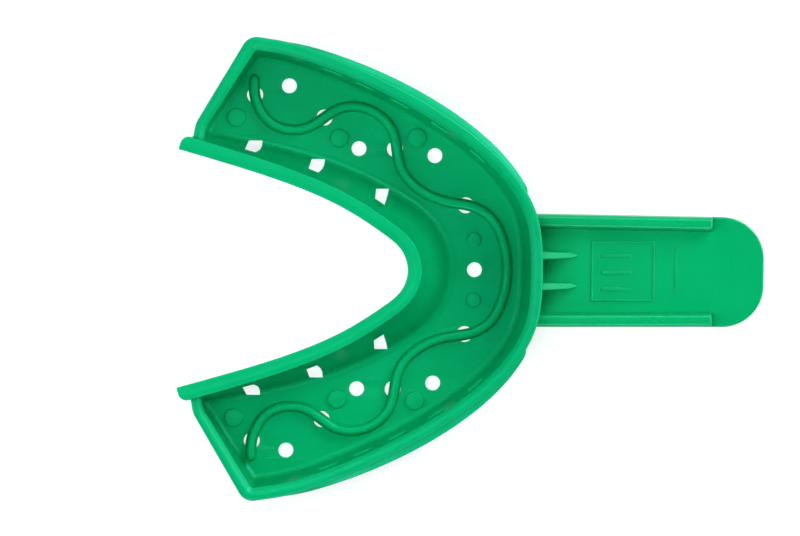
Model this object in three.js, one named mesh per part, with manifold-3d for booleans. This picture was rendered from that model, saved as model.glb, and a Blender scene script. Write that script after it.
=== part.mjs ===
// A perforated stock tray for taking an impression of a full lower arch, in millimetres.
// +X runs out along the handle, +Y is the left side, and +Z points up out of the trough.
// The origin is on the plane that the tray rests on, under the middle of its length and width.

import * as THREE from "three";
import { LoftGeometry } from "three/addons/geometries/LoftGeometry.js";
import { mergeVertices } from "three/addons/utils/BufferGeometryUtils.js";
import Module from "manifold-3d";

const wasm = await Module();
wasm.setup();

// ---- Driving dimensions ----

// Half outlines seen from above, from the front of the arch (y = 0) back along the left arm.
const RIM_EDGE = [
  [12.3, 0], [11.2, 9.7], [6.6, 17.5], [-1.65, 24.85],
  [-12.6, 31.45], [-23.5, 36.35], [-31.55, 38.95], [-38.7, 40.15],
];
const END_EDGE = [[-47.7, 24.9], [-48.4, 20.8]];
const TONGUE_EDGE = [
  [-11, 0], [-12.2, 3.6], [-15, 6.1], [-21.9, 10.5],
  [-30.2, 14.2], [-41.2, 17.8], [-50.6, 20.5],
];
const ROD_LINE = [
  [6.3, 0], [5.55, 5], [3.5, 8.9], [0.3, 10.9], [-3.6, 11.6], [-8.8, 13.6], [-12.2, 17.5], [-13.5, 23.4],
  [-17.2, 27.2], [-22.8, 27.6], [-28.3, 24.25], [-34.4, 24.85], [-37.5, 30.2], [-37.5, 33.3],
];

// Heights above the resting plane.
const FLOOR_TOP = 2;
const OUTER_RIM_UNDERSIDE = 11.4;
const OUTER_RIM_TOP = 13;
const INNER_RIM_UNDERSIDE = 13.2;
const INNER_RIM_TOP = 15;

// Distances in from the rim's edge: at the front, at the rear corners, and at the ends by the tongue.
const WALL = 1.5;
const RIM_WIDTH = [2.05, 2.25, 1.8];
const OUTER_FOOT = [3.3, 3.35, 2.3];
const RIM_CORNER_RADIUS = 2.7;
const FOOT_CORNER_RADIUS = 0.8;
const RIM_CHAMFER = 0.4;

// Distances out from the tongue-side edge: at the front and at the ends of the arms.
const TONGUE_RIM_WIDTH = [2.4, 2.6];
const TONGUE_FOOT = [7.4, 3.3];
const TONGUE_FOOT_REACH = 0.93; // how far along the arms the wall's foot runs, of the whole edge

// The band that slopes down outside the rim, between two distances back along the arm (0 to 1).
const SKIRT_SPAN = [0.2, 0.86];
const SKIRT_FLARE = 0.85;
const SKIRT_BLUNT_END = 0.35;
const SKIRT_THICKNESS = 0.5;
const SKIRT_SLOPE_HEIGHT = 0.9;
const SKIRT_HEIGHT = 1.5;

// Holes and raised discs on the left arm, each repeated on the right; y = 0 stands alone.
const OPEN_HOLES = [[-31.5, 31.4], [-19.4, 20.7], [-6.3, 19.6], [0.7, 0]];
const OPEN_HOLE_RADIUS = 1.3;
const BRIDGED_HOLES = [[-37.4, 29.8], [-25.4, 26], [-13.2, 20.7], [-0.9, 11.1]];
const BRIDGED_HOLE_RADIUS = 1.4;
const PADS = {
  rear: [-40.6, 25.9, 1.6],
  middle: [-22.8, 22.5, 1.6],
  side: [-9.4, 22.7, 1.6],
  front: [0.6, 5.2, 1.25],
};
const PAD_HEIGHT = 0.35;

// Slots up through the foot of the inner wall: centre x, and the y of the edge on the floor side.
const INNER_SLOTS = [[-37.2, 21.95], [-26.4, 18.85], [-15.3, 13.85]];
const INNER_SLOT_LENGTH = 2.4;
const INNER_SLOT_WIDTH = 2.6;
const INNER_SLOT_TOP = 12;

// Windows in the outer wall.
const WINDOWS = [[-24.1, 34.4], [-18.4, 31.8], [-12.2, 29.3], [-5.5, 25], [1, 19.9]];
const WINDOW_LENGTH = 3.4;
const WINDOW_BOTTOM = 7.4;
const WINDOW_HEIGHT = 2;

const ROD_WIDTH = 2;
const ROD_HEIGHT = 1.5;

// Handle.
const HANDLE_TIP = 50.6;
const HANDLE_ROOT_HALF_WIDTH = 9.75;
const HANDLE_TIP_HALF_WIDTH = 9.4;
const HANDLE_TIP_RADIUS = 7.2;
const HANDLE_TOP = 2.2;
const GRIP_START = 41.9; // from here to the tip the handle is bare
const RAIL_END = 41.7;
const RAIL_WIDTH = 2.6;
const RAIL_HEIGHT = 2.4;
const RAIL_ROUNDING = 0.7;
const GUSSET_Y = 2.65;
const GUSSET_WIDTH = 1.9;
const GUSSET_TOP = 9;
const GUSSET_END = 18.4;
const MARK_HEIGHT = 0.3;

const GAP = 0.3; // clearance between features that meet on a slanted or curved face
const OVERRUN = 4; // how far a cutting shape runs past what it cuts
const MERGE_DISTANCE = 1e-4;

const GREEN = 0x06a866;
const HANDLE_GREEN = 0x02b06d;

// ---- Plan curves ----

const lerp = THREE.MathUtils.lerp;
const plan = (x, y) => new THREE.Vector2(x, y);
const BOTH_SIDES = [["left", 1], ["right", -1]];

// The whole curve of a half outline: right rear, front, left rear.
function archCurve(half) {
  const right = half.slice(1).reverse().map(([x, y]) => plan(x, -y));
  const left = half.map(([x, y]) => plan(x, y));
  return new THREE.SplineCurve([...right, ...left]);
}

const rimCurve = archCurve(RIM_EDGE);
const tongueCurve = archCurve(TONGUE_EDGE);
const rodCurve = archCurve(ROD_LINE);

// The unit vector to the left of the curve's direction at place t, which is 0 to 1.
function leftNormal(curve, t) {
  const direction = curve.getTangent(t);
  return plan(-direction.y, direction.x);
}

// A value that changes evenly with x between the front and the rear of a curve.
function byX(x, [atFront, atRear], half) {
  const front = half[0][0];
  const rear = half[half.length - 1][0];
  return lerp(atFront, atRear, (front - x) / (front - rear));
}

// Points of an arc of the given radius that is tangent to both legs of a corner.
function roundedCorner(before, corner, after, radius) {
  const back = before.clone().sub(corner).normalize();
  const on = after.clone().sub(corner).normalize();
  const halfAngle = Math.acos(back.dot(on)) / 2;
  const centre = back.clone().add(on).setLength(radius / Math.sin(halfAngle)).add(corner);
  const start = back.multiplyScalar(radius / Math.tan(halfAngle)).add(corner).sub(centre).angle();
  const end = on.multiplyScalar(radius / Math.tan(halfAngle)).add(corner).sub(centre).angle();
  const turn = Math.atan2(Math.sin(end - start), Math.cos(end - start));
  return Array.from({ length: CORNER_STEPS + 1 }, (_, i) => {
    const angle = start + (turn * i) / CORNER_STEPS;
    return plan(Math.cos(angle), Math.sin(angle)).multiplyScalar(radius).add(centre);
  });
}

const CORNER_STEPS = 6;
const RIM_STEPS = 56;
const END_STEPS = 5;
const CORNER_MARGIN = 5.5; // no station of the arch is closer than this to a rear corner

// The sharp-cornered line round the outside of the rim. Each station has a point and an inset mix:
// 0 at the front, 1 at the rear corners, 2 at the ends by the tongue.
function rimStations() {
  const front = RIM_EDGE[0][0];
  const corner = plan(...RIM_EDGE[RIM_EDGE.length - 1]);
  const [bend, end] = END_EDGE.map(([x, y]) => plan(x, y));
  const arch = rimCurve
    .getPoints(RIM_STEPS)
    .filter(({ x, y }) => plan(x, Math.abs(y)).distanceTo(corner) > CORNER_MARGIN)
    .map((point) => ({ point, mix: (front - point.x) / (front - corner.x), isCorner: false }));
  const straight = Array.from({ length: END_STEPS + 1 }, (_, i) => corner.clone().lerp(bend, i / END_STEPS));
  const rear = [...straight, end].map((point, i) => ({
    point,
    mix: 1 + point.distanceTo(corner) / end.distanceTo(corner),
    isCorner: i === 0,
  }));
  const mirror = ({ point, ...rest }) => ({ point: plan(point.x, -point.y), ...rest });
  return [...rear.map(mirror).reverse(), ...arch, ...rear];
}

const RIM_STATIONS = rimStations();

// A line inside the rim's edge, always with the same number of points, so that lines pair up.
function rimLine([atFront, atCorner, atEnd], cornerRadius) {
  const moved = RIM_STATIONS.map(({ point, mix }, i) => {
    const inset = mix < 1 ? lerp(atFront, atCorner, mix) : lerp(atCorner, atEnd, mix - 1);
    const sides = [[i - 1, i], [i, i + 1]]
      .filter(([a, b]) => a >= 0 && b < RIM_STATIONS.length)
      .map(([a, b]) => RIM_STATIONS[b].point.clone().sub(RIM_STATIONS[a].point).normalize())
      .map((direction) => plan(-direction.y, direction.x));
    const bisector = sides[0].clone().add(sides[sides.length - 1]).normalize();
    return bisector.multiplyScalar(inset / bisector.dot(sides[0])).add(point);
  });
  return RIM_STATIONS.flatMap(({ isCorner }, i) =>
    isCorner ? roundedCorner(moved[i - 1], moved[i], moved[i + 1], cornerRadius) : [moved[i]],
  );
}

// The end walls meet the outer wall in the middle of each rounded corner.
const RIGHT_MITRE = RIM_STATIONS.findIndex((station) => station.isCorner) + CORNER_STEPS / 2;

// A line outside the tongue-side edge, which stops short of the arms' ends when reach is under 1.
const TONGUE_STEPS = 72;
function tongueLine(outsets, reach = 1) {
  return Array.from({ length: TONGUE_STEPS + 1 }, (_, i) => {
    const t = 0.5 + (i / TONGUE_STEPS - 0.5) * reach;
    const point = tongueCurve.getPoint(t);
    const outset = byX(point.x, outsets, TONGUE_EDGE);
    return point.addScaledVector(leftNormal(tongueCurve, t), -outset);
  });
}

const less = (values, amount) => values.map((value) => value - amount);

// ---- Solids ----

const at = (point, z) => new THREE.Vector3(point.x, point.y, z);

// A bar whose corners run along the given lines, each a list of points with a height.
// Seen from behind, the corners go round counterclockwise.
function barAlong(corners) {
  const stations = corners[0].line.map((_, i) => corners.map(({ line, z }) => at(line[i], z)));
  return loftThrough(stations);
}

// A flat plate between two heights.
function plateBetween(outline, low, high, holes = []) {
  const shape = new THREE.Shape(outline);
  shape.holes = holes;
  const plate = new THREE.ExtrudeGeometry(shape, { depth: high - low, bevelEnabled: false });
  return plate.translate(0, 0, low);
}

function toSolid(geometry) {
  const bare = new THREE.BufferGeometry();
  bare.setAttribute("position", geometry.getAttribute("position"));
  bare.setIndex(geometry.getIndex());
  const merged = mergeVertices(bare, MERGE_DISTANCE);
  return new wasm.Manifold(
    new wasm.Mesh({
      numProp: 3,
      vertProperties: new Float32Array(merged.attributes.position.array),
      triVerts: new Uint32Array(merged.index.array),
    }),
  );
}

function toGeometry(solid) {
  const { vertProperties, triVerts, numProp } = solid.getMesh();
  const geometry = new THREE.BufferGeometry();
  geometry.setAttribute("position", new THREE.BufferAttribute(vertProperties, numProp));
  geometry.setIndex(new THREE.BufferAttribute(triVerts, 1));
  geometry.computeVertexNormals();
  return geometry;
}

// A closed loft through the given sections, each a loop of points.
function loftThrough(sections) {
  return toGeometry(toSolid(new LoftGeometry(sections, { capStart: true, capEnd: true })));
}

function cutAway(geometry, cutters) {
  return toGeometry(cutters.reduce((solid, cutter) => solid.subtract(toSolid(cutter)), toSolid(geometry)));
}

// ---- Walls and rims ----

const rimInner = rimLine(RIM_WIDTH, FOOT_CORNER_RADIUS);
const footInner = rimLine(OUTER_FOOT, FOOT_CORNER_RADIUS);
const wallTopOuter = rimLine(less(RIM_WIDTH, WALL), RIM_CORNER_RADIUS - WALL / 2);
const wallFootOuter = rimLine(less(OUTER_FOOT, WALL), RIM_CORNER_RADIUS - WALL / 2);

// A stretch of the wall round the outside, from one station to another.
function outsideWall(from, to) {
  const stretch = (line) => line.slice(from, to + 1);
  return barAlong([
    { line: stretch(wallFootOuter), z: FLOOR_TOP },
    { line: stretch(footInner), z: FLOOR_TOP },
    { line: stretch(rimInner), z: OUTER_RIM_UNDERSIDE },
    { line: stretch(wallTopOuter), z: OUTER_RIM_UNDERSIDE },
  ]);
}

// The inner wall, and with a clearance the space that its neighbours keep out of.
function innerWall(clearance = 0) {
  const reach = clearance ? 1 : TONGUE_FOOT_REACH;
  const tongueSide = WALL + (clearance ? OVERRUN : 0);
  return barAlong([
    { line: tongueLine(less(TONGUE_FOOT, -clearance), reach), z: FLOOR_TOP - clearance },
    { line: tongueLine(less(TONGUE_FOOT, tongueSide), reach), z: FLOOR_TOP - clearance },
    { line: tongueLine(less(TONGUE_RIM_WIDTH, tongueSide)), z: INNER_RIM_UNDERSIDE + clearance },
    { line: tongueLine(less(TONGUE_RIM_WIDTH, -clearance)), z: INNER_RIM_UNDERSIDE + clearance },
  ]);
}

function innerSlotCutters(low, high) {
  return INNER_SLOTS.flatMap(([x, floorEdge]) =>
    BOTH_SIDES.map(([, side]) =>
      new THREE.BoxGeometry(INNER_SLOT_LENGTH, INNER_SLOT_WIDTH, high - low).translate(
        x,
        side * (floorEdge - INNER_SLOT_WIDTH / 2),
        (low + high) / 2,
      ),
    ),
  );
}

function nearestPlace(curve, x, y) {
  const places = Array.from({ length: 401 }, (_, i) => i / 400);
  const distance = (t) => curve.getPoint(t).distanceTo(plan(x, y));
  return places.reduce((best, t) => (distance(t) < distance(best) ? t : best));
}

function windowCutters() {
  return WINDOWS.flatMap(([x, y]) =>
    BOTH_SIDES.map(([, side]) => {
      const direction = rimCurve.getTangent(nearestPlace(rimCurve, x, side * y)).angle();
      return new THREE.BoxGeometry(WINDOW_LENGTH, 2 * OVERRUN, WINDOW_HEIGHT)
        .rotateZ(direction)
        .translate(x, side * y, WINDOW_BOTTOM + WINDOW_HEIGHT / 2);
    }),
  );
}

function outerRim() {
  const bevelled = (widths, radius, z) => ({ line: rimLine(widths, radius), z });
  return barAlong([
    bevelled([0, 0, 0], RIM_CORNER_RADIUS, OUTER_RIM_UNDERSIDE),
    bevelled(RIM_WIDTH, FOOT_CORNER_RADIUS, OUTER_RIM_UNDERSIDE),
    bevelled(RIM_WIDTH, FOOT_CORNER_RADIUS, OUTER_RIM_TOP - RIM_CHAMFER),
    bevelled(less(RIM_WIDTH, RIM_CHAMFER), FOOT_CORNER_RADIUS, OUTER_RIM_TOP),
    bevelled([RIM_CHAMFER, RIM_CHAMFER, RIM_CHAMFER], RIM_CORNER_RADIUS, OUTER_RIM_TOP),
    bevelled([0, 0, 0], RIM_CORNER_RADIUS, OUTER_RIM_TOP - RIM_CHAMFER),
  ]);
}

function innerRim() {
  const low = RIM_CHAMFER;
  return barAlong([
    { line: tongueLine(TONGUE_RIM_WIDTH), z: INNER_RIM_UNDERSIDE },
    { line: tongueLine([0, 0]), z: INNER_RIM_UNDERSIDE },
    { line: tongueLine([0, 0]), z: INNER_RIM_TOP - low },
    { line: tongueLine([low, low]), z: INNER_RIM_TOP },
    { line: tongueLine(less(TONGUE_RIM_WIDTH, low)), z: INNER_RIM_TOP },
    { line: tongueLine(TONGUE_RIM_WIDTH), z: INNER_RIM_TOP - low },
  ]);
}

// A crescent: blunt where it starts beside the handle, and run out to nothing near the rear corner.
const SKIRT_STEPS = 24;
function rimSkirt(side) {
  const stations = Array.from({ length: SKIRT_STEPS + 1 }, (_, i) => {
    const along = side > 0 ? i / SKIRT_STEPS : 1 - i / SKIRT_STEPS;
    const t = 0.5 + (side * lerp(...SKIRT_SPAN, along)) / 2;
    const flare = SKIRT_BLUNT_END * (1 - along) + SKIRT_FLARE * Math.sin(Math.PI * along) ** 0.8;
    const move = (inset, drop) =>
      at(rimCurve.getPoint(t).addScaledVector(leftNormal(rimCurve, t), inset), OUTER_RIM_UNDERSIDE - drop);
    return [
      move(-flare, SKIRT_HEIGHT),
      move(SKIRT_THICKNESS, SKIRT_HEIGHT),
      move(SKIRT_THICKNESS, 0),
      move(0, 0),
      move(-flare, SKIRT_SLOPE_HEIGHT),
    ];
  });
  return loftThrough(stations);
}

// ---- Floor ----

const HOLE_STEPS = 20;
function roundHole(x, y, radius) {
  const circle = (i) => (2 * Math.PI * i) / HOLE_STEPS;
  return new THREE.Path(
    Array.from({ length: HOLE_STEPS }, (_, i) =>
      plan(x + radius * Math.cos(circle(i)), y + radius * Math.sin(circle(i))),
    ),
  );
}

function onBothSides(places) {
  return places.flatMap(([x, y]) => (y ? [[x, y], [x, -y]] : [[x, y]]));
}

function trayFloor() {
  const holes = [
    ...onBothSides(OPEN_HOLES).map(([x, y]) => roundHole(x, y, OPEN_HOLE_RADIUS)),
    ...onBothSides(BRIDGED_HOLES).map(([x, y]) => roundHole(x, y, BRIDGED_HOLE_RADIUS)),
  ];
  const foot = tongueLine(less(TONGUE_FOOT, WALL));
  const behind = TONGUE_EDGE[TONGUE_EDGE.length - 1][0] - OVERRUN;
  const tongueSpace = [plan(behind, foot[0].y), ...foot, plan(behind, foot[foot.length - 1].y)];
  return cutAway(plateBetween(wallFootOuter, 0, FLOOR_TOP, holes), [
    plateBetween(tongueSpace, -OVERRUN, FLOOR_TOP + OVERRUN),
    ...innerSlotCutters(-OVERRUN, FLOOR_TOP + OVERRUN),
  ]);
}

// ---- Beads ----

// Half-round section points (across, up) of a bead that stands on a flat face.
function beadSection(width, height) {
  const steps = 8;
  return Array.from({ length: steps + 1 }, (_, i) => {
    const angle = (Math.PI * i) / steps;
    return [(-width / 2) * Math.cos(angle), height * Math.sin(angle) ** 0.8];
  });
}

// How much of its full size a bead has at a distance from its round end.
function roundEnd(distance, radius) {
  const near = Math.min(distance / radius, 1);
  return Math.max(Math.sqrt(1 - (1 - near) ** 2), 0.05);
}

const ROD_STEPS = 130;
function retentionRod() {
  const length = rodCurve.getLength();
  const stations = Array.from({ length: ROD_STEPS + 1 }, (_, i) => {
    const u = i / ROD_STEPS;
    const point = rodCurve.getPointAt(u);
    const direction = rodCurve.getTangentAt(u);
    const size = roundEnd(Math.min(u, 1 - u) * length, ROD_WIDTH / 2);
    return beadSection(ROD_WIDTH * size, ROD_HEIGHT * size).map(
      ([across, up]) =>
        new THREE.Vector3(point.x - direction.y * across, point.y + direction.x * across, FLOOR_TOP + up),
    ).reverse();
  });
  return loftThrough(stations);
}

// ---- Handle ----

// The space of the tray's body, which the handle's features stop short of.
function bodySpace() {
  const loop = (line, z) => line.map((point) => at(point, z));
  const foot = rimLine(less(OUTER_FOOT, WALL + GAP), RIM_CORNER_RADIUS);
  const top = rimLine(less(RIM_WIDTH, WALL + GAP), RIM_CORNER_RADIUS);
  const sections = [loop(foot, -OVERRUN), loop(foot, FLOOR_TOP), loop(top, OUTER_RIM_UNDERSIDE + GAP)];
  return loftThrough(sections);
}

const HANDLE_INSIDE = 4; // where the uncut handle starts, inside the tray's body

function handleHalfWidth(x) {
  const mix = (x - RIM_EDGE[0][0]) / (HANDLE_TIP - RIM_EDGE[0][0]);
  return lerp(HANDLE_ROOT_HALF_WIDTH, HANDLE_TIP_HALF_WIDTH, mix);
}

// The flat part of the handle, without the stretch between two distances along it.
function handlePlateLess(from, to) {
  const root = plan(HANDLE_INSIDE, handleHalfWidth(HANDLE_INSIDE));
  const tip = plan(HANDLE_TIP, handleHalfWidth(HANDLE_TIP));
  const left = [root, ...roundedCorner(root, tip, plan(HANDLE_TIP, 0), HANDLE_TIP_RADIUS)];
  const right = left.map(({ x, y }) => plan(x, -y)).reverse();
  const depth = HANDLE_TOP + OVERRUN;
  const stretch = new THREE.BoxGeometry(to - from, 4 * HANDLE_ROOT_HALF_WIDTH, 2 * depth);
  stretch.translate((from + to) / 2, 0, 0);
  return cutAway(plateBetween([...right, ...left], 0, HANDLE_TOP), [bodySpace(), stretch]);
}

// Section points (across, up) of a rail with rounded top edges.
function railSection(width, height) {
  const arc = [0, 30, 60, 90].map(THREE.MathUtils.degToRad);
  const right = arc.map((angle) => [
    width / 2 - RAIL_ROUNDING * (1 - Math.cos(angle)),
    height - RAIL_ROUNDING * (1 - Math.sin(angle)),
  ]);
  const left = right.map(([across, up]) => [-across, up]).reverse();
  return [[-width / 2, 0], [width / 2, 0], ...right, ...left];
}

const RAIL_END_STEPS = 4;
function handleRail(side) {
  const endXs = Array.from({ length: RAIL_END_STEPS + 1 }, (_, i) => {
    const angle = (i / RAIL_END_STEPS) * (Math.PI / 2);
    return RAIL_END - RAIL_ROUNDING * (1 - Math.sin(angle));
  });
  const stations = [HANDLE_INSIDE, ...endXs].map((x) => {
    const size = 1 - (RAIL_ROUNDING / RAIL_HEIGHT) * (1 - roundEnd(RAIL_END - x, RAIL_ROUNDING));
    const middle = side * (handleHalfWidth(x) - RAIL_WIDTH / 2);
    return railSection(RAIL_WIDTH * size, RAIL_HEIGHT * size).map(
      ([across, up]) => new THREE.Vector3(x, middle + across, HANDLE_TOP + up),
    );
  });
  return cutAway(loftThrough(stations), [bodySpace()]);
}

const GUSSET_ROUNDING = 0.35; // share of the gusset's width that is rounded off at its top
const GUSSET_TIP_SIZE = 0.15;
function handleGusset(side) {
  const stations = [[HANDLE_INSIDE, 1], [RIM_EDGE[0][0], 0.85], [GUSSET_END, GUSSET_TIP_SIZE]].map(
    ([x, size]) => {
      const half = (GUSSET_WIDTH / 2) * Math.sqrt(size);
      const top = (GUSSET_TOP - HANDLE_TOP) * size;
      const section = [[-1, 0], [1, 0], [1 - GUSSET_ROUNDING, 1], [GUSSET_ROUNDING - 1, 1]];
      return section.map(
        ([across, up]) => new THREE.Vector3(x, side * GUSSET_Y + across * half, HANDLE_TOP + up * top),
      );
    },
  );
  return cutAway(loftThrough(stations), [bodySpace()]);
}

// Blank raised marks: a frame, three bars along the handle inside it, and a bar across beyond it.
const FRAME = { x: 26.3, length: 11, width: 10.4, line: 0.35 };
const LABEL_BARS = { x: 25.2, length: 5.2, width: 0.6, offsets: [2.7, -0.2, -3.1] };
const NAME_BAR = { x: 35.6, length: 0.6, width: 8 };

function rectangle(x, length, width) {
  const corners = [[-1, -1], [1, -1], [1, 1], [-1, 1]];
  return corners.map(([alongX, alongY]) => plan(x + (alongX * length) / 2, (alongY * width) / 2));
}

function raisedMark(outline, holes = []) {
  return plateBetween(outline, HANDLE_TOP, HANDLE_TOP + MARK_HEIGHT, holes);
}

function labelFrame() {
  const { x, length, width, line } = FRAME;
  const hole = new THREE.Path(rectangle(x, length - 2 * line, width - 2 * line));
  return raisedMark(rectangle(x, length, width), [hole]);
}

// ---- Assembly ----

const tray = new THREE.Group();

function addPiece(name, geometry, color = GREEN, roughness = 0.42) {
  const material = new THREE.MeshStandardMaterial({ color, roughness, metalness: 0 });
  const mesh = new THREE.Mesh(geometry, material);
  mesh.name = name;
  tray.add(mesh);
  return mesh;
}

const lastStation = rimInner.length - 1;
const leftMitre = lastStation - RIGHT_MITRE;
const besideInnerWall = [innerWall(GAP)];

addPiece("tray_floor", trayFloor());
addPiece("outer_wall", cutAway(outsideWall(RIGHT_MITRE, leftMitre), windowCutters()));
addPiece("end_wall_left", cutAway(outsideWall(leftMitre, lastStation), besideInnerWall));
addPiece("end_wall_right", cutAway(outsideWall(0, RIGHT_MITRE), besideInnerWall));
addPiece("outer_rim", cutAway(outerRim(), besideInnerWall));
addPiece("inner_wall", cutAway(innerWall(), innerSlotCutters(-OVERRUN, INNER_SLOT_TOP)));
addPiece("inner_rim", innerRim());
addPiece("retention_rod", retentionRod());

for (const [sideName, side] of BOTH_SIDES) {
  addPiece(`rim_skirt_${sideName}`, rimSkirt(side));
  for (const [place, [x, y, radius]] of Object.entries(PADS)) {
    const disc = new THREE.CylinderGeometry(radius, radius, PAD_HEIGHT, HOLE_STEPS).rotateX(Math.PI / 2);
    addPiece(`pad_${place}_${sideName}`, disc).position.set(x, side * y, FLOOR_TOP + PAD_HEIGHT / 2);
  }
  addPiece(`handle_rail_${sideName}`, handleRail(side), HANDLE_GREEN);
  addPiece(`handle_gusset_${sideName}`, handleGusset(side), HANDLE_GREEN);
}

addPiece("handle_plate", handlePlateLess(GRIP_START, HANDLE_TIP + OVERRUN), HANDLE_GREEN);
addPiece("handle_grip", handlePlateLess(0, GRIP_START), HANDLE_GREEN);
addPiece("handle_label_frame", labelFrame(), HANDLE_GREEN);
LABEL_BARS.offsets.forEach((offset, i) => {
  const bar = raisedMark(rectangle(LABEL_BARS.x, LABEL_BARS.length, LABEL_BARS.width));
  addPiece(`handle_label_bar_${i + 1}`, bar.translate(0, offset, 0), HANDLE_GREEN);
});
addPiece("handle_name_bar", raisedMark(rectangle(NAME_BAR.x, NAME_BAR.length, NAME_BAR.width)), HANDLE_GREEN);

export default tray;
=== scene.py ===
import math

import bmesh
import bpy
import numpy as np
from mathutils import Matrix, Vector
from mathutils.geometry import tessellate_polygon


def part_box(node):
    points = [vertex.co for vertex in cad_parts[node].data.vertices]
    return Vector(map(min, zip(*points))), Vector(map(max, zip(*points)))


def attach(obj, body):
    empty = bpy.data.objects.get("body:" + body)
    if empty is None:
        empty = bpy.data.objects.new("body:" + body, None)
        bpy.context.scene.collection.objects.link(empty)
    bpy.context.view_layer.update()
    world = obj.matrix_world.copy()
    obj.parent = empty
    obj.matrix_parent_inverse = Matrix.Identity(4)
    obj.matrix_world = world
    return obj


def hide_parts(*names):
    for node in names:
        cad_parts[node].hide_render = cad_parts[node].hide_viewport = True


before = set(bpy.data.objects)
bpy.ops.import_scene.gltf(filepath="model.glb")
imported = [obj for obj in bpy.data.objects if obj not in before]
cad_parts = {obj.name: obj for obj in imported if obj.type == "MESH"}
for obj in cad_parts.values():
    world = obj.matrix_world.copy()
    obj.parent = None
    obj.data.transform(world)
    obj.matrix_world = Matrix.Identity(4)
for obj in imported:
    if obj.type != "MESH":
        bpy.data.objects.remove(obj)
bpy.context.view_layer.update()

MM = 0.001

# ---- Shape of the tray, in millimetres ----

# Half outlines seen from above, from the front of the arch (y = 0) back along the left arm.
RIM_EDGE = [
    (12.3, 0), (11.2, 9.7), (6.6, 17.5), (-1.65, 24.85),
    (-12.6, 31.45), (-23.5, 36.35), (-31.55, 38.95), (-38.7, 40.15),
]
END_EDGE = [(-47.7, 24.9), (-48.4, 20.8)]
TONGUE_EDGE = [
    (-11, 0), (-12.2, 3.6), (-15, 6.1), (-21.9, 10.5),
    (-30.2, 14.2), (-41.2, 17.8), (-50.6, 20.5),
]
ROD_LINE = [
    (6.3, 0), (5.55, 5), (3.5, 8.9), (0.3, 10.9), (-3.6, 11.6), (-8.8, 13.6), (-12.2, 17.5), (-13.5, 23.4),
    (-17.2, 27.2), (-22.8, 27.6), (-28.3, 24.25), (-34.4, 24.85), (-37.5, 30.2), (-37.5, 33.3),
]

# Distances in from the rim's edge: at the front, at the rear corners, and at the ends by the tongue.
WALL = 1.5
RIM_WIDTH = (2.05, 2.25, 1.8)
OUTER_FOOT = (3.3, 3.35, 2.3)
RIM_CORNER_RADIUS = 2.7
LEAST_CORNER_RADIUS = 0.8
BEND_RADIUS = 5
LEAST_BEND_RADIUS = 1

# Distances out from the tongue-side edge: at the front and at the ends of the arms.
TONGUE_RIM_WIDTH = (2.4, 2.6)
TONGUE_FOOT = (7.4, 3.3)
TONGUE_FOOT_REACH = 0.93  # how far back the foot of the wall goes, as a share of the rim
TONGUE_WALL_TOP_REACH = 0.968
RIM_END_RADIUS = 1.5
RIM_END_EASE = 0.12

# The rims' sections: where across the rim its crown is, as a share of its width, how far below the
# crown its two edges are, and the roundings.
OUTER_CROWN = 0.52
OUTER_SHOULDER = 0.3
OUTER_EDGE_INSET = 0.02
OUTER_LIP = 0.95
OUTER_LIP_LEAN = 0.05
OUTER_CROWN_ROUNDING = 1.6
OUTER_EDGE_ROUNDING = 0.45
OUTER_LIP_ROUNDING = 0.3
INNER_CROWN = 0.55
INNER_SHOULDER = 0.3
INNER_LIP = 0.1
INNER_CROWN_ROUNDING = 6
INNER_EDGE_ROUNDING = 0.25
INNER_LIP_ROUNDING = 0.2
INNER_FOOT_ROUNDING = 0.15

# The skirts that flare out under the outer rim: how far out they go halfway along and at the blunt end.
SKIRT_FLARE = 0.85
SKIRT_BLUNT_END = 0.35
SKIRT_FULLNESS = 0.8  # under 1 makes the curve fuller than half a sine wave
SKIRT_START = 0.03  # the share of a skirt's length over which its blunt end rounds off
SKIRT_FOOT_SHARE = 0.85  # how much of the flare is left at its foot

# Their section: insets from the rim's edge, depths below the rim's top, and the roundings.
SKIRT_TOP_INSET, SKIRT_TOP_DEPTH = 0.06, 0.55
SKIRT_BACK_INSET, SKIRT_BACK_DEPTH = 0.9, 0.8
SKIRT_FOOT_INSET, SKIRT_FOOT_SLOPE = 0.5, 0.1
SKIRT_ROUNDING = 0.22
SKIRT_FOOT_ROUNDING = 0.12

OPEN_HOLES = [(-31.5, 31.4), (-19.4, 20.7), (-6.3, 19.6), (0.7, 0)]
OPEN_HOLE_RADIUS = 1.3
BRIDGED_HOLES = [(-37.4, 29.8), (-25.4, 26), (-13.2, 20.7), (-0.9, 11.1)]
BRIDGED_HOLE_RADIUS = 1.4

# Slots through the foot of the inner wall: the middle of the edge on the floor side, and an outline
# of points along the arm and towards the tongue.
INNER_SLOTS = [
    ((-37.2, 21.95), [(-1.15, 0), (1.15, 0), (1.1, 0.9), (0.75, 1.6), (0, 2), (-0.4, 1.95), (-2, 1.5)]),
    ((-26.4, 18.85), [(-1.15, 0), (1.15, 0), (1.05, 1), (0.7, 1.7), (0, 2.3), (-1.8, 1.6)]),
    ((-15.3, 13.85), [(-1.15, 0), (1.15, 0), (0.95, 1), (0.35, 2.75), (-1.35, 1.65)]),
]
SLOT_TOP = 12

WINDOWS = [(-24.1, 34.4), (-18.4, 31.8), (-12.2, 29.3), (-5.5, 25), (1, 19.9)]
WINDOW_LENGTH = 3.4
WINDOW_BOTTOM = 7.4
WINDOW_TOP = 9.4

# The rod: half its width at the floor and at its crown, then its flank, as shares of the step between
# the two and heights above the floor.
ROD_RADIUS = 0.97
ROD_CROWN = 0.58
ROD_FLANK = [(1, 0.005), (0.9, 0.05), (0.78, 0.16), (0.62, 0.36)]

PAD_REACH = 0.2  # how far the discs run down into the floor
PAD_RISE = 0.12
PAD_ROUNDING = 0.25
PAD_POINTS = 56

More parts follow.
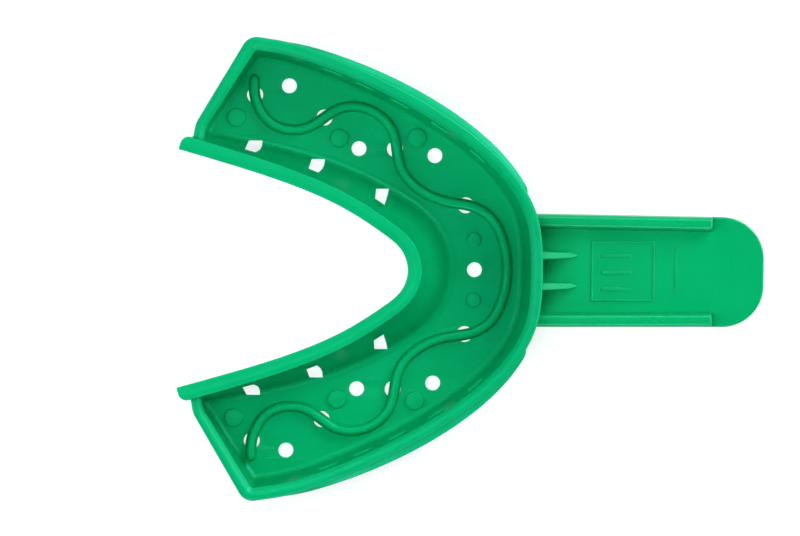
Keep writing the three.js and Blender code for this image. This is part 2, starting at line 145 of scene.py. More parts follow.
HANDLE_TIP_HALF_WIDTH = 9.4
HANDLE_TIP_RADIUS = 7.2
HANDLE_FOOT_ROUNDING = 0.35
HANDLE_EDGE_ROUNDING = 0.3
RAIL_WIDTH = 2.6
RAIL_REACH = 0.4  # how far the rails run into the front wall
RAIL_STATIONS = [15, 25, 35]
RAIL_FOOT_FILLET = 0.15
RAIL_OUTER_SLOPE = 0.12
RAIL_INNER_SLOPE = 0.45
RAIL_ROUNDING = 0.8
RAIL_END_DROP = 0.5
RAIL_ROOT = 1.0  # height of the rails' foot, inside the flat handle
HANDLE_REACH = 0.7  # how far the flat handle runs into the front wall
GUSSET_REACH = 0.5
GUSSET_RISE = 0.6  # how far a rib goes up past the CAD's, into the wall
GUSSET_TIP = 0.03  # its size at the tip, as a share of its size at the wall
GUSSET_HALF_WIDTH = 0.5
GUSSET_SPREAD = 0.2
GUSSET_FOOT = 0.08
GUSSET_ROUNDING = 0.25
MARK_LINE = 0.35
MARK_HEIGHT = 0.17
MARK_ROUNDING = 0.1
MARK_CORNER_RADIUS = 0.15

EMBED = 0.3  # how far a piece runs into the one it is moulded to
HAIR = 0.01  # keeps faces of two pieces from lying in one plane
CLEAR = 1  # how far a cutter goes past what it cuts

# How finely the curves are divided.
STEP = 0.45
STRAIGHT_STEP = 1.2
ROD_STEP = 0.35
CORNER_STEPS = 12
END_STEPS = 14
MERGE_DISTANCE = 1e-7


def box_mm(node):
    low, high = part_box(node)
    return np.array(low) / MM, np.array(high) / MM


FLOOR_TOP = box_mm("tray_floor")[1][2]
OUTER_RIM_UNDERSIDE = box_mm("outer_rim")[0][2]
OUTER_RIM_TOP = box_mm("outer_rim")[1][2]
INNER_RIM_UNDERSIDE = box_mm("inner_rim")[0][2]
INNER_RIM_TOP = box_mm("inner_rim")[1][2]
ROD_TOP = box_mm("retention_rod")[1][2]
HANDLE_TOP = box_mm("handle_plate")[1][2]
HANDLE_TIP = box_mm("handle_grip")[1][0]
RAIL_TOP = box_mm("handle_rail_left")[1][2]
RAIL_END = box_mm("handle_rail_left")[1][0]


# ---- Curves ----

def unit(vectors):
    return vectors / np.linalg.norm(vectors, axis=-1, keepdims=True)


def left_of(directions):
    return np.stack([-directions[..., 1], directions[..., 0]], axis=-1)


class Arch:
    """The smooth curve through a half outline and its mirror image, from the right rear to the left rear."""

    FINE = 8001

    def __init__(self, half):
        half = np.array(half, float)
        points = np.vstack([half[:0:-1] * [1, -1], half])
        gaps = np.linalg.norm(np.diff(points, axis=0), axis=1)
        knots = np.concatenate([[0], np.cumsum(gaps)])
        slopes = np.diff(points, axis=0) / gaps[:, None]
        matrix = np.eye(len(points))
        pulls = np.zeros_like(points)
        for i in range(1, len(points) - 1):
            matrix[i, i - 1 : i + 2] = gaps[i - 1], 2 * (gaps[i - 1] + gaps[i]), gaps[i]
            pulls[i] = 6 * (slopes[i] - slopes[i - 1])
        bends = np.linalg.solve(matrix, pulls)
        places = np.linspace(0, knots[-1], self.FINE)
        k = np.clip(np.searchsorted(knots, places, side="right") - 1, 0, len(points) - 2)
        gap = gaps[k][:, None]
        after = (places - knots[k])[:, None]
        before = gap - after
        self.points = (
            (bends[k] * before**3 + bends[k + 1] * after**3) / (6 * gap)
            + (points[k] / gap - bends[k] * gap / 6) * before
            + (points[k + 1] / gap - bends[k + 1] * gap / 6) * after
        )
        steps = np.linalg.norm(np.diff(self.points, axis=0), axis=1)
        self.runs = np.concatenate([[0], np.cumsum(steps)])
        self.length = self.runs[-1]
        self.normals = left_of(unit(np.gradient(self.points, axis=0)))

    def at(self, distances):
        def along(values):
            return np.stack([np.interp(distances, self.runs, values[:, i]) for i in (0, 1)], axis=-1)

        return along(self.points), unit(along(self.normals))

    def half_distances(self, spacing, short_of_end=0):
        start, stop = self.length / 2, self.length - short_of_end
        return np.linspace(start, stop, round((stop - start) / spacing) + 1)


rim_arch = Arch(RIM_EDGE)
tongue_arch = Arch(TONGUE_EDGE)
rod_arch = Arch(ROD_LINE)


# How far from the rear corner and from the bend by the tongue the plain stations stop.
CORNER_MARGIN = 5.2
BEND_MARGIN = 2.5


class RimPath:
    """The rim's edge, kept for the left half only, from the front to the end by the tongue."""

    def __init__(self):
        distances = rim_arch.half_distances(STEP, CORNER_MARGIN)
        arch_points, arch_normals = rim_arch.at(distances)
        corner, bend, end = (np.array(p, float) for p in (RIM_EDGE[-1], *END_EDGE))
        front = RIM_EDGE[0][0]
        directions = unit(np.array([corner - arch_points[-1], bend - corner, end - bend]))
        normals = left_of(directions)
        whole = np.linalg.norm(end - corner)
        stations = [
            (point, normal, (front - point[0]) / (front - corner[0]), None, 0)
            for point, normal in zip(arch_points, arch_normals)
        ]

        def turn(place, before, after, radius, least, mix):
            mitre = (normals[before] + normals[after]) / (1 + normals[before] @ normals[after])
            turned = (-directions[before], directions[after], radius, least)
            for i in range(CORNER_STEPS + 1):
                stations.append((place, mitre, mix, turned, i / CORNER_STEPS))

        def straight(start, finish, normal, margins):
            length = np.linalg.norm(finish - start)
            count = max(2, round(length / STRAIGHT_STEP))
            for d in np.linspace(margins[0], length - margins[1], count):
                point = start + (finish - start) * d / length
                mix = 1 + np.linalg.norm(point - corner) / whole
                stations.append((point, normal, mix, None, 0))

        turn(corner, 0, 1, RIM_CORNER_RADIUS, LEAST_CORNER_RADIUS, 1)
        self.mitre_station = len(stations) - 1 - CORNER_STEPS // 2
        straight(corner, bend, normals[1], (CORNER_MARGIN, BEND_MARGIN))
        bend_mix = 1 + np.linalg.norm(bend - corner) / whole
        turn(bend, 1, 2, BEND_RADIUS, LEAST_BEND_RADIUS, bend_mix)
        straight(bend, end, normals[2], (BEND_MARGIN / 2, 0))
        self.stations = stations
        self.mix = np.array([s[2] for s in stations])
        self.points = np.array([s[0] for s in stations])
        self.arch_count = len(arch_points)

    def insets(self, amounts):
        """An inset for each station, from the amounts at the front, the corner and the end."""
        return np.interp(self.mix, [0, 1, 2], amounts)

    def line(self, insets):
        insets = np.broadcast_to(insets, self.mix.shape)
        placed = []
        for (point, mitre, _, turned, share), inset in zip(self.stations, insets):
            spot = point + mitre * inset
            if turned:
                back, on, radius, least = turned
                radius = max(radius - inset, least)
                half = math.acos(back @ on) / 2
                centre = spot + unit(back + on) * radius / math.sin(half)
                reach = radius / math.tan(half)
                start, finish = spot + back * reach - centre, spot + on * reach - centre
                angle = math.pi - 2 * half
                spot = centre + (
                    start * math.sin((1 - share) * angle) + finish * math.sin(share * angle)
                ) / math.sin(angle)
            placed.append(spot)
        return np.array(placed)


rim_path = RimPath()


class TonguePath:
    """The left half of the tongue-side edge, with closer stations at its end."""

    END_LENGTH = 2.2

    def __init__(self):
        plain = tongue_arch.half_distances(STEP, self.END_LENGTH)
        angles = np.linspace(0, math.pi / 2, END_STEPS)[1:]
        self.distances = np.concatenate(
            [plain, tongue_arch.length - self.END_LENGTH * (1 - np.sin(angles))]
        )

    def places(self, reach):
        """Distances along the arch, drawn in towards its front where the reach is under 1."""
        middle = tongue_arch.length / 2
        return middle + (self.distances - middle) * reach

    def line(self, outsets, reach=1):
        points, normals = tongue_arch.at(self.places(reach))
        return points - normals * np.broadcast_to(outsets, len(points))[:, None]

    def outsets(self, amounts, change=0, reach=1):
        """An outset for each station, from the amounts at the front and at the end of the arm."""
        x = tongue_arch.at(self.places(reach))[0][:, 0]
        front, rear = TONGUE_EDGE[0][0], TONGUE_EDGE[-1][0]
        return np.interp((front - x) / (front - rear), [0, 1], amounts) + change

    def from_end(self):
        return tongue_arch.length - self.distances


tongue_path = TonguePath()


# ---- Sections ----

ROOM_SHARE = 0.49  # how much of a side the rounding of one of its corners may take


def rounded(corners, count, steps=6):
    """A polygon at each of count stations, with rounded corners, as (across, up) arrays.
    Each corner is (across, up, radius), and any of these may be an array over the stations."""
    spots = np.array(
        [np.stack([np.broadcast_to(v, count) for v in corner[:2]], axis=-1) for corner in corners], float
    )
    made = []
    for j, here in enumerate(spots):
        radius = np.broadcast_to(corners[j][2], count)[:, None]
        if not radius.any():
            made.append(here)
            continue
        back, on = spots[j - 1] - here, spots[(j + 1) % len(spots)] - here
        room = ROOM_SHARE * np.minimum(np.linalg.norm(back, axis=1), np.linalg.norm(on, axis=1))[:, None]
        back, on = unit(back), unit(on)
        half = np.arccos(np.clip((back * on).sum(axis=1), -1, 1))[:, None] / 2
        reach = np.minimum(radius / np.tan(half), room)
        centre = here + unit(back + on) * reach * np.tan(half) / np.sin(half)
        start, finish = here + back * reach - centre, here + on * reach - centre
        angle = math.pi - 2 * half
        for share in np.linspace(0, 1, steps + 1):
            turn = start * np.sin((1 - share) * angle) + finish * np.sin(share * angle)
            made.append(centre + turn / np.sin(angle))
    made = np.array(made)
    return made[..., 0], made[..., 1]


def rim_grid(corners):
    """Points in space for a section along the rim's half path: stations, then points round the section."""
    across, up = rounded(corners, len(rim_path.mix))
    columns = [np.column_stack([rim_path.line(a), z]) for a, z in zip(across, up)]
    return np.stack(columns, axis=1)


def tongue_grid(corners, reaches=None):
    across, up = rounded(corners, len(tongue_path.distances))
    columns = []
    for a, z in zip(across, up):
        reach = 1 if reaches is None else reaches(z.mean())
        columns.append(np.column_stack([tongue_path.line(a, reach), z]))
    return np.stack(columns, axis=1)


def mirrored(grid):
    return grid[::-1] * [1, -1, 1]


def both_halves(grid):
    return np.concatenate([mirrored(grid)[:-1], grid])


# ---- Meshes ----

def new_object(name, points, faces):
    mesh = bpy.data.meshes.new(name)
    mesh.from_pydata((np.array(points) * MM).tolist(), [], faces)
    tidy = bmesh.new()
    tidy.from_mesh(mesh)
    bmesh.ops.remove_doubles(tidy, verts=tidy.verts, dist=MERGE_DISTANCE)
    bmesh.ops.recalc_face_normals(tidy, faces=tidy.faces)
    tidy.to_mesh(mesh)
    tidy.free()
    obj = bpy.data.objects.new(name, mesh)
    bpy.context.scene.collection.objects.link(obj)
    return obj


def lofted(name, grid):
    """A closed bar through the sections of a grid."""
    stations, around, _ = grid.shape
    faces = []
    for here in range(0, (stations - 1) * around, around):
        there = here + around
        for j in range(around):
            k = (j + 1) % around
            faces.append((here + j, here + k, there + k, there + j))
    last = (stations - 1) * around
    faces += [tuple(range(around)), tuple(range(last + around - 1, last - 1, -1))]
    return new_object(name, grid.reshape(-1, 3), faces)


def inward(loop, amount):
    """A counterclockwise loop moved in by an amount."""
    before = unit(loop - np.roll(loop, 1, axis=0))
    after = unit(np.roll(loop, -1, axis=0) - loop)
    sides = left_of(before), left_of(after)
    mitre = (sides[0] + sides[1]) / (1 + (sides[0] * sides[1]).sum(axis=1, keepdims=True))
    return loop + mitre * amount


def counterclockwise(loop):
    loop = np.array(loop, float)
    x, y = loop.T
    area = (x * np.roll(y, -1) - np.roll(x, -1) * y).sum()
    return loop if area > 0 else loop[::-1]


def edge_profile(low, high, low_radius, high_radius, steps=5):
    """(inset, height) pairs up the side of a plate with rounded edges."""
    angles = np.linspace(0, math.pi / 2, steps + 1)
    foot = [(low_radius * (1 - math.sin(a)), low + low_radius * (1 - math.cos(a))) for a in angles]
    head = [(high_radius * (1 - math.cos(a)), high - high_radius * (1 - math.sin(a))) for a in angles]
    return (foot if low_radius else [(0, low)]) + (head if high_radius else [(0, high)])


def plate(name, outline, profile, holes=(), hole_profile=()):
    """A flat plate with a rounded edge and holes."""
    points, faces, lows, highs = [], [], [], []
    for loop, sides, sign in [(outline, profile, 1), *[(hole, hole_profile, -1) for hole in holes]]:
        loop = counterclockwise(loop)
        rings = []
        for inset, z in sides:
            ring = inward(loop, inset * sign)
            rings.append(list(range(len(points), len(points) + len(ring))))
            points.extend([(x, y, z) for x, y in ring])
        for low, high in zip(rings, rings[1:]):
            for i in range(len(low)):
                k = (i + 1) % len(low)
                faces.append((low[i], low[k], high[k], high[i]))
        lows.append(rings[0])
        highs.append(rings[-1])
    for loops in (lows, highs):
        flat = [i for loop in loops for i in loop]
        for corners in tessellate_polygon([[Vector(points[i]) for i in loop] for loop in loops]):
            faces.append(tuple(flat[i] for i in corners))
    return new_object(name, points, faces)


def prism(name, outline, low, high):
    return plate(name, outline, [(0, low), (0, high)])


def cut(obj, cutters):
    """Takes the cutters away from an object, and removes them."""
    for cutter in cutters:
        change = obj.modifiers.new("cut", "BOOLEAN")
        change.operation = "DIFFERENCE"
        change.solver = "EXACT"
        change.object = cutter
    ready = obj.evaluated_get(bpy.context.evaluated_depsgraph_get())
    mesh = bpy.data.meshes.new_from_object(ready)
    obj.modifiers.clear()
    old, obj.data = obj.data, mesh
    bpy.data.meshes.remove(old)
    for cutter in cutters:
        bpy.data.meshes.remove(cutter.data)
    return obj


# ---- Materials ----

class Nodes:
    def __init__(self, name):
        self.material = bpy.data.materials.new(name)
        self.material.use_nodes = True
        self.tree = self.material.node_tree
        self.shader = self.tree.nodes["Principled BSDF"]
        self.place = self.add("ShaderNodeTexCoord").outputs["Object"]

    def add(self, kind, inputs=None, **settings):
        node = self.tree.nodes.new(kind)
        for key, value in settings.items():
            setattr(node, key, value)
        for key, value in (inputs or {}).items():
            self.give(node.inputs[key], value)
        return node

    def give(self, socket, value):
        if isinstance(value, bpy.types.NodeSocket):
            self.tree.links.new(value, socket)
        else:
            socket.default_value = value

    def noise(self, scale, detail, stretch=(1, 1, 1), roughness=0.5):
        place = self.add("ShaderNodeMapping", {"Vector": self.place, "Scale": stretch}).outputs[0]
        return self.add(
            "ShaderNodeTexNoise",
            {"Vector": place, "Scale": scale, "Detail": detail, "Roughness": roughness},
        ).outputs["Fac"]

    def spread(self, value, low, high, to_low=0, to_high=1):
        return self.add(
            "ShaderNodeMapRange",
            {"Value": value, "From Min": low, "From Max": high, "To Min": to_low, "To Max": to_high},
        ).outputs[0]

    def math(self, operation, a, b):
        return self.add("ShaderNodeMath", {0: a, 1: b}, operation=operation).outputs[0]

    def mix(self, share, a, b):
        node = self.add("ShaderNodeMix", data_type="RGBA", blend_type="MIX")
        colours = [s for s in node.inputs if s.type == "RGBA"]
        self.give(node.inputs["Factor"], share)
        self.give(colours[0], a)
        self.give(colours[1], b)
        return next(s for s in node.outputs if s.type == "RGBA")


# Noise scales, per metre.
CLOUD_SCALE = 90
FLOW_SCALE = 60
SPECK_SCALE = 1400
SCRATCH_SCALE = 420
SCRATCHED_AREA_SCALE = 55
RUBBED_SCALE = 150
WORN_AND_HIGHLIGHT_SCALE = 260
SHEEN_SCALE = 320
GRAIN_SCALE = 5200
WAVE_SCALE = 170

# How strongly each pattern changes the colour.
SPECK_SHARE = 0.10
FLOW_SHARE = 0.12
# The paler convex edges are wear and also a painted highlight for the gloss that rounded edges catch.
WORN_AND_HIGHLIGHT_SHARE = 0.14
SCRATCH_SHARE = 0.08

# What the patterns do to the roughness, and their heights in millimetres.
RUBBED_ROUGHNESS = 0.02
SCRATCH_ROUGHNESS = 0.05
SHEEN_BELOW = 0.04
SHEEN_ABOVE = 0.05
WAVE_HEIGHT = 0.007
SCRATCH_DEPTH = 0.0006
BUMP_STRENGTH = 0.45


def brighter(colour, amount):
    return (*[c * amount for c in colour], 1)


def moulded_plastic(name, colour, deep_colour, roughness, grain, tint):
    """Green moulded plastic with cloudy colour, a fine grain, slight waviness, scuffs, and convex edges
    painted paler, as wear and as a painted highlight.
    The grain is a height in millimetres, and the tint is how much red the highlights keep."""
    n = Nodes(name)
    clouds = n.spread(n.noise(CLOUD_SCALE, 3), 0.35, 0.65)
    specks = n.spread(n.noise(SPECK_SCALE, 4), 0.3, 0.7)
    flow = n.spread(n.noise(FLOW_SCALE, 4, (1, 6, 6)), 0.45, 0.75)
    scratches = n.spread(n.noise(SCRATCH_SCALE, 3, (1, 14, 14), 0.6), 0.66, 0.72)
    scratches = n.math("MULTIPLY", scratches, n.spread(n.noise(SCRATCHED_AREA_SCALE, 2), 0.5, 0.62))
    rubbed = n.spread(n.noise(RUBBED_SCALE, 5, roughness=0.7), 0.56, 0.72)
    # Convex edges painted paler: worn edges, and a painted highlight standing in for the gloss on rounded
    # edges.
    edges = n.spread(n.add("ShaderNodeNewGeometry").outputs["Pointiness"], 0.52, 0.6)
    worn_and_highlit_edges = n.math("MULTIPLY", edges, n.spread(n.noise(WORN_AND_HIGHLIGHT_SCALE, 4), 0.42, 0.6))
    pale = (0, colour[1] * 1.15, colour[2] * 1.5, 1)

    base = n.mix(clouds, (*deep_colour, 1), (*colour, 1))
    base = n.mix(n.math("MULTIPLY", specks, SPECK_SHARE), base, brighter(deep_colour, 0.8))
    base = n.mix(n.math("MULTIPLY", flow, FLOW_SHARE), base, brighter(colour, 1.15))
    # Paler convex edges: wear and a painted highlight.
    base = n.mix(n.math("MULTIPLY", worn_and_highlit_edges, WORN_AND_HIGHLIGHT_SHARE), base, pale)
    base = n.mix(n.math("MULTIPLY", scratches, SCRATCH_SHARE), base, pale)
    n.give(n.shader.inputs["Base Color"], base)

    sheen = n.noise(SHEEN_SCALE, 4)
    rough = n.spread(sheen, 0.3, 0.7, roughness - SHEEN_BELOW, roughness + SHEEN_ABOVE)
    rough = n.math("ADD", rough, n.math("MULTIPLY", rubbed, RUBBED_ROUGHNESS))
    rough = n.math("ADD", rough, n.math("MULTIPLY", scratches, SCRATCH_ROUGHNESS))
    n.give(n.shader.inputs["Roughness"], rough)

    fine = n.math("MULTIPLY", n.noise(GRAIN_SCALE, 3), grain)
    waves = n.math("MULTIPLY", n.noise(WAVE_SCALE, 2), WAVE_HEIGHT)
    height = n.math("ADD", fine, waves)
    height = n.math("SUBTRACT", height, n.math("MULTIPLY", scratches, SCRATCH_DEPTH))
    bump = n.add("ShaderNodeBump", {"Height": height, "Strength": BUMP_STRENGTH, "Distance": MM})
    n.give(n.shader.inputs["Normal"], bump.outputs[0])

    n.give(n.shader.inputs["Specular IOR Level"], 0.5)
    n.give(n.shader.inputs["Specular Tint"], (tint, 1, 0.93, 1))
    n.give(n.shader.inputs["Subsurface Weight"], 0.08)
    n.give(n.shader.inputs["Subsurface Radius"], (0.3, 1, 0.5))
    n.give(n.shader.inputs["Subsurface Scale"], MM)
    return n.material


def tray_plastic():
    green, deep_green = (0.0, 0.425, 0.186), (0.0, 0.40, 0.168)
    return moulded_plastic("tray_plastic", green, deep_green, roughness=0.35, grain=0.004, tint=0.22)


def handle_plastic():
    green, deep_green = (0.0, 0.455, 0.191), (0.0, 0.435, 0.179)
    return moulded_plastic("handle_plastic", green, deep_green, roughness=0.31, grain=0.003, tint=0.55)


MATERIALS = {"tray_plastic": tray_plastic(), "handle_plastic": handle_plastic()}
SHARP_ANGLE = math.radians(32)
LEVEL = 0.99999  # a face whose normal points up or down this squarely is shaded flat


def piece(obj, nodes, slot="tray_plastic"):
    """Makes an object a piece of the tray that stands for CAD nodes."""
    mesh = obj.data
    mesh.materials.clear()
    mesh.materials.append(MATERIALS[slot])
    for face in mesh.polygons:
        face.use_smooth = abs(face.normal.z) < LEVEL
    mesh.set_sharp_from_angle(angle=SHARP_ANGLE)
    weigh = obj.modifiers.new("even_normals", "WEIGHTED_NORMAL")
    weigh.keep_sharp = True
    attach(obj, "root")
    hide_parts(*nodes)
    return obj


# ---- Floor, walls and rims ----

foot = rim_path.insets(OUTER_FOOT)
rim = rim_path.insets(RIM_WIDTH)
tongue_rim = tongue_path.outsets(TONGUE_RIM_WIDTH)
tongue_foot = tongue_path.outsets(TONGUE_FOOT, reach=TONGUE_FOOT_REACH)

# Where the walls meet the floor, and the edges of the floor.
FILLET = 1.1
TONGUE_FILLET = 4
TOE = 2  # how far a wall's foot reaches along the floor
TONGUE_TOE = 2.6
TOE_DEPTH = 0.012
FLOOR_ROUNDING = 0.6
HOLE_ROUNDING = 0.12


def wall_corners(foot, rim, top, fillet, toe):
    return [
        (rim, top, 0),
        (foot, FLOOR_TOP, fillet),
        (foot + toe, FLOOR_TOP - TOE_DEPTH, 0),
        (foot + toe, FLOOR_TOP - 2 * EMBED, 0),
        (foot - WALL + EMBED, FLOOR_TOP - 2 * EMBED, 0),
        (foot - WALL, FLOOR_TOP, 0),
        (rim - WALL, top, 0),
        (rim - WALL + EMBED, top + EMBED, 0),
        (rim - EMBED, top + EMBED, 0),
    ]


def crossing(first, second):
    """Where two lines cross: an index into each, and the point."""
    for i in range(len(first) - 1):
        p, r = first[i], first[i + 1] - first[i]
        q, s = second[:-1], np.diff(second, axis=0)
        bottom = r[0] * s[:, 1] - r[1] * s[:, 0]
        d = q - p
        t = (d[:, 0] * s[:, 1] - d[:, 1] * s[:, 0]) / bottom
        u = (d[:, 0] * r[1] - d[:, 1] * r[0]) / bottom
        hits = np.flatnonzero((t >= 0) & (t <= 1) & (u >= 0) & (u <= 1))
        if len(hits):
            return i, int(hits[0]), p + r * t[hits[0]]
    raise ValueError("the lines don't cross")


def circle(x, y, radius, count=48):
    angles = np.linspace(0, 2 * math.pi, count, endpoint=False)
    return np.column_stack([x + radius * np.cos(angles), y + radius * np.sin(angles)])


def on_both_sides(places):
    return [(x, side * y) for x, y in places for side in ((1, -1) if y else (1,))]


def floor_outline():
    outer = rim_path.line(foot - WALL)
    inner = tongue_path.line(tongue_path.outsets(TONGUE_FOOT, -WALL))
    i, j, place = crossing(outer, inner)
    half = np.vstack([outer[: i + 1], [place], inner[: j + 1][::-1]])
    other = (half * [1, -1])[::-1]
    return np.vstack([half, other[1:-1]])


def slot_cutters(low, high):
    cutters = []
    for (x, y), shape in INNER_SLOTS:
        for side in (1, -1):
            outline = [(x + u, side * (y - v)) for u, v in shape]
            cutters.append(prism("slot", outline, low, high))
    return cutters


def make_floor():
    holes = [circle(x, y, OPEN_HOLE_RADIUS) for x, y in on_both_sides(OPEN_HOLES)]
    holes += [circle(x, y, BRIDGED_HOLE_RADIUS) for x, y in on_both_sides(BRIDGED_HOLES)]
    obj = plate(
        "tray_floor_plate",
        floor_outline(),
        edge_profile(0, FLOOR_TOP, FLOOR_ROUNDING, 0),
        holes,
        edge_profile(0, FLOOR_TOP, HOLE_ROUNDING, HOLE_ROUNDING, steps=3),
    )
    return cut(obj, slot_cutters(-CLEAR, FLOOR_TOP + CLEAR))


def window_cutters():
    cutters = []
    reach = 4
    for x, y in on_both_sides(WINDOWS):
        near = np.argmin(np.linalg.norm(rim_arch.points - [x, y], axis=1))
        across = rim_arch.normals[near]
        along = np.array([across[1], -across[0]])
        half = WINDOW_LENGTH / 2
        corners = [(-half, -reach), (half, -reach), (half, reach), (-half, reach)]
        outline = [np.array([x, y]) + along * a + across * b for a, b in corners]
        cutters.append(prism("window", outline, WINDOW_BOTTOM, WINDOW_TOP))
    return cutters


def tongue_space():
    """What lies on the tongue side of the middle of the inner wall."""
    middle = WALL / 2
    low, high = -2 * CLEAR, INNER_RIM_TOP + CLEAR
    beyond = -4
    corners = [
        (tongue_path.outsets(TONGUE_FOOT, -middle), low, 0),
        (tongue_path.outsets(TONGUE_FOOT, -middle), FLOOR_TOP, 0),
        (tongue_path.outsets(TONGUE_RIM_WIDTH, -middle), INNER_RIM_UNDERSIDE, 0),
        (tongue_path.outsets(TONGUE_RIM_WIDTH, -middle), high, 0),
        (beyond, high, 0),
        (beyond, low, 0),
    ]
    return lofted("tongue_space", both_halves(tongue_grid(corners)))


def make_outer_walls():
    grid = rim_grid(wall_corners(foot, rim, OUTER_RIM_UNDERSIDE, FILLET, TOE))
    split = rim_path.mitre_station
    wall = cut(lofted("outer_wall_shell", both_halves(grid[: split + 1])), window_cutters())
    left = cut(lofted("end_wall_left_shell", grid[split:]), [tongue_space()])
    right = cut(lofted("end_wall_right_shell", mirrored(grid[split:])), [tongue_space()])
    piece(wall, ["outer_wall"])
    piece(left, ["end_wall_left"])
    piece(right, ["end_wall_right"])


def make_outer_rim():
    corners = [
        (0, OUTER_RIM_UNDERSIDE, OUTER_LIP_ROUNDING),
        (rim, OUTER_RIM_UNDERSIDE, 0),
        (rim + OUTER_LIP_LEAN, OUTER_RIM_TOP - OUTER_LIP, OUTER_LIP_ROUNDING),
        (rim * OUTER_CROWN, OUTER_RIM_TOP, OUTER_CROWN_ROUNDING),
        (OUTER_EDGE_INSET, OUTER_RIM_TOP - OUTER_SHOULDER, OUTER_EDGE_ROUNDING),
    ]
    obj = cut(lofted("outer_rim_bead", both_halves(rim_grid(corners))), [tongue_space()])
    piece(obj, ["outer_rim"])


def make_inner_wall():
    corners = wall_corners(tongue_foot, tongue_rim, INNER_RIM_UNDERSIDE, TONGUE_FILLET, TONGUE_TOE)

    def reach(z):
        return np.interp(z, [FLOOR_TOP, INNER_RIM_UNDERSIDE], [TONGUE_FOOT_REACH, TONGUE_WALL_TOP_REACH])

    obj = lofted("inner_wall_shell", both_halves(tongue_grid(corners, reach)))
    piece(cut(obj, slot_cutters(-CLEAR, SLOT_TOP)), ["inner_wall"])


def make_inner_rim():
    end = tongue_path.from_end()
    inside = np.clip(RIM_END_RADIUS - end, 0, RIM_END_RADIUS)
    width = tongue_rim - RIM_END_RADIUS + np.sqrt(RIM_END_RADIUS**2 - inside**2)
    ease = RIM_END_EASE * np.clip(1 - end / RIM_END_EASE, 0, 1)
    corners = [
        (ease, INNER_RIM_UNDERSIDE + ease, INNER_FOOT_ROUNDING),
        (width, INNER_RIM_UNDERSIDE + ease, 0),
        (width, INNER_RIM_TOP - INNER_LIP - ease, INNER_LIP_ROUNDING),
        (width * INNER_CROWN, INNER_RIM_TOP - ease, INNER_CROWN_ROUNDING),
        (ease, INNER_RIM_TOP - INNER_SHOULDER - ease, INNER_EDGE_ROUNDING),
    ]
    piece(lofted("inner_rim_bead", both_halves(tongue_grid(corners))), ["inner_rim"])


def make_skirts():
    low, high = box_mm("rim_skirt_left")
    edge = rim_path.points[: rim_path.arch_count]
    chosen = np.flatnonzero((edge[:, 1] > low[1] + SKIRT_BLUNT_END) & (edge[:, 0] > low[0]))
    along = (chosen - chosen[0]) / (len(chosen) - 1)
    start = np.sqrt(1 - np.clip(1 - along / SKIRT_START, 0, 1) ** 2)
    flare = np.zeros(len(rim_path.mix))
    swell = SKIRT_FLARE * np.sin(np.pi * along) ** SKIRT_FULLNESS
    flare[chosen] = start * (SKIRT_BLUNT_END * (1 - along) + swell)
    corners = [
        (SKIRT_TOP_INSET, OUTER_RIM_TOP - SKIRT_TOP_DEPTH, 0),
        (-flare - HAIR, OUTER_RIM_TOP - OUTER_LIP, SKIRT_ROUNDING),
        (-flare * SKIRT_FOOT_SHARE + HAIR, low[2], SKIRT_FOOT_ROUNDING),
        (SKIRT_FOOT_INSET, low[2] + SKIRT_FOOT_SLOPE, 0),
        (SKIRT_BACK_INSET, OUTER_RIM_TOP - SKIRT_BACK_DEPTH, 0),
    ]
    grid = rim_grid(corners)[chosen]
    piece(lofted("rim_skirt_left_band", grid), ["rim_skirt_left"])
    piece(lofted("rim_skirt_right_band", mirrored(grid)), ["rim_skirt_right"])


piece(make_floor(), ["tray_floor"])
make_outer_walls()
make_outer_rim()
make_inner_wall()
make_inner_rim()
make_skirts()


# ---- Rod and discs ----

def make_rod():
    length = rod_arch.length
    distances = np.linspace(0, length, round(length / ROD_STEP) + 1)
    ends = ROD_RADIUS * (1 - np.sin(np.linspace(0, math.pi / 2, 9)))[:-1]
    ends[0] *= 0.998  # short of the very tip, where the section would shrink to a point
    inner = distances[(distances > ROD_RADIUS) & (distances < length - ROD_RADIUS)]
    distances = np.concatenate([np.sort(ROD_RADIUS - ends), inner, length - ROD_RADIUS + np.sort(ends)])
    from_end = np.minimum(distances, length - distances)
    size = np.sqrt(1 - np.clip(1 - from_end / ROD_RADIUS, 0, 1) ** 2)
    points, normals = rod_arch.at(distances)
    crown = ROD_CROWN * size
    spread = (ROD_RADIUS - ROD_CROWN) * size
    top = ROD_TOP - ROD_CROWN * (1 - size)
    right = [(crown + spread, FLOOR_TOP - EMBED, 0)]
    right += [(crown + spread * share, FLOOR_TOP + rise * size, 0) for share, rise in ROD_FLANK]
    right += [(crown, top, ROD_CROWN)]
    corners = right + [(-across, up, radius) for across, up, radius in right[::-1]]
    across, up = rounded(corners, len(distances), steps=8)
    columns = [np.column_stack([points + normals * a[:, None], z]) for a, z in zip(across, up)]
    piece(lofted("retention_rod_bead", np.stack(columns, axis=1)), ["retention_rod"])


def make_disc(node):
    low, high = box_mm(node)
    middle = (low + high) / 2
    loop = circle(middle[0], middle[1], (high[0] - low[0]) / 2, PAD_POINTS)
    profile = edge_profile(low[2] - PAD_REACH, high[2] + PAD_RISE, 0, PAD_ROUNDING, steps=4)
    piece(plate(node + "_disc", loop, profile), [node])


make_rod()
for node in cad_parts:
    if node.startswith("pad_"):
        make_disc(node)


# ---- Handle ----

def handle_half_width(x):
    """Half the width of the flat handle, which tapers from the front wall to its tip."""
    root = box_mm("handle_plate")[1][1]
    return np.interp(x, [RIM_EDGE[0][0], HANDLE_TIP], [root, HANDLE_TIP_HALF_WIDTH])


